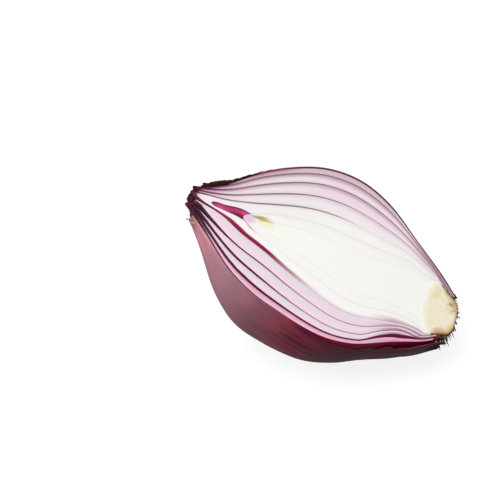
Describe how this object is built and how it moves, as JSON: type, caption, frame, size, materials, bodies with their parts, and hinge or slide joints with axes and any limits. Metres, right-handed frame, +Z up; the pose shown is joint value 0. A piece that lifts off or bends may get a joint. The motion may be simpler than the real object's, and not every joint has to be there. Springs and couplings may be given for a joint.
{
  "type": "halved red onion",
  "caption": "Half of a red onion cut from neck to root, lying on its skin with the layered cut face up, with papery skin, fleshy scales, shoot and root plate.",
  "frame": {"origin": "on the surface the half lies on, under the middle of its outline", "axes": "+X from the neck towards the root end, +Y towards the back edge of the cut, +Z up; the cut face looks up and a little to -Y"},
  "size_m": [0.0874, 0.068, 0.0535],
  "materials": {
    "dry_skin": "dry papery skin with a satin sheen",
    "purple_flesh": "moist, purple outside and lilac within",
    "white_flesh": "moist, translucent white",
    "shoot": "moist, pale yellow-green",
    "root_plate": "dry, fibrous and corky"
  },
  "bodies": {
    "root": {"dry_skin": "dry_skin", "scale_1": "purple_flesh", "scale_2": "white_flesh", "scale_3": "white_flesh", "scale_4": "white_flesh", "scale_5": "white_flesh", "scale_6": "white_flesh", "heart": "white_flesh", "young_shoot": "shoot", "root_plate": "root_plate"}
  },
  "joints": []
}
